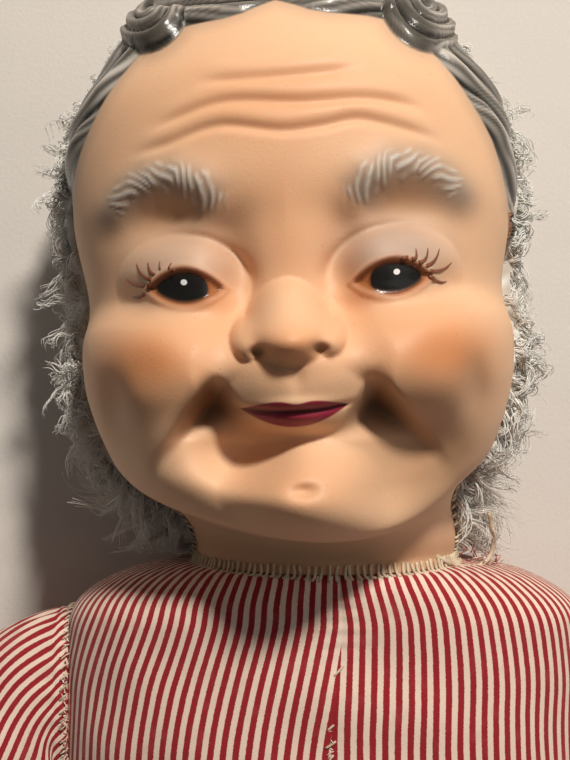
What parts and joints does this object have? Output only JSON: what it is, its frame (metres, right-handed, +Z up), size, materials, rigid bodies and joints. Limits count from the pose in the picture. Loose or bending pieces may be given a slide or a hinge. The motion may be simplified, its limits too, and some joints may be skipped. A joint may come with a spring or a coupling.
{
  "type": "stuffed doll",
  "caption": "Stuffed cloth doll on its back, with a moulded rubber grandmother face, curly plush wig, striped cotton body, turning head, swinging arms and folding legs.",
  "frame": {"origin": "middle of the flat of the back, on the surface that the doll lies on", "axes": "+Z up out of the face, +Y towards the crown of the head, +X to the doll's own left"},
  "size_m": [0.352, 0.5215, 0.1212],
  "materials": {
    "rubber_skin": "satin moulded rubber, flesh coloured, with airbrushed and painted features",
    "plush": "off-white to grey curly pile on a woven backing",
    "striped_cotton": "plain weave cotton, dark red and cream stripes of 3.2 mm pitch",
    "filling": "loose off-white cotton filling",
    "thread": "twisted cream sewing thread",
    "mitt": "flesh coloured plain cotton",
    "felt": "dark red felt",
    "felt_sole": "dark red felt, thicker and darker"
  },
  "bodies": {
    "torso": {"torso_front_left": "striped_cotton", "torso_front_right": "striped_cotton", "torso_back": "striped_cotton", "torso_stuffing": "filling", "neck_thread": "thread", "shoulder_thread_left": "thread", "shoulder_thread_right": "thread", "hip_seam_left": "thread", "hip_seam_right": "thread"},
    "head": {"face_mask": "rubber_skin", "head_stuffing": "filling", "plush_left": "plush", "plush_right": "plush"},
    "arm_left": {"arm_cover_left": "striped_cotton", "arm_stuffing_left": "filling", "hand_left": "mitt"},
    "arm_right": {"arm_cover_right": "striped_cotton", "arm_stuffing_right": "filling", "hand_right": "mitt"},
    "leg_left": {"leg_cover_left": "striped_cotton", "leg_stuffing_left": "filling", "slipper_left": "felt", "sole_left": "felt_sole"},
    "leg_right": {"leg_cover_right": "striped_cotton", "leg_stuffing_right": "filling", "slipper_right": "felt", "sole_right": "felt_sole"}
  },
  "joints": [
    {"name": "head_turn", "type": "hinge", "parent": "torso", "child": "head", "pos_m": [0, 0.085, 0.042], "axis": [0, 1, 0], "range_deg": [-20, 20]},
    {"name": "arm_left_swing", "type": "hinge", "parent": "torso", "child": "arm_left", "pos_m": [0.069, 0.045, 0.04], "axis": [-1, 0, 0], "range_deg": [0, 110]},
    {"name": "arm_right_swing", "type": "hinge", "parent": "torso", "child": "arm_right", "pos_m": [-0.069, 0.045, 0.04], "axis": [-1, 0, 0], "range_deg": [0, 110]},
    {"name": "leg_left_swing", "type": "hinge", "parent": "torso", "child": "leg_left", "pos_m": [0.032, -0.094, 0.01], "axis": [-1, 0, 0], "range_deg": [0, 80]},
    {"name": "leg_right_swing", "type": "hinge", "parent": "torso", "child": "leg_right", "pos_m": [-0.032, -0.094, 0.01], "axis": [-1, 0, 0], "range_deg": [0, 80]}
  ]
}
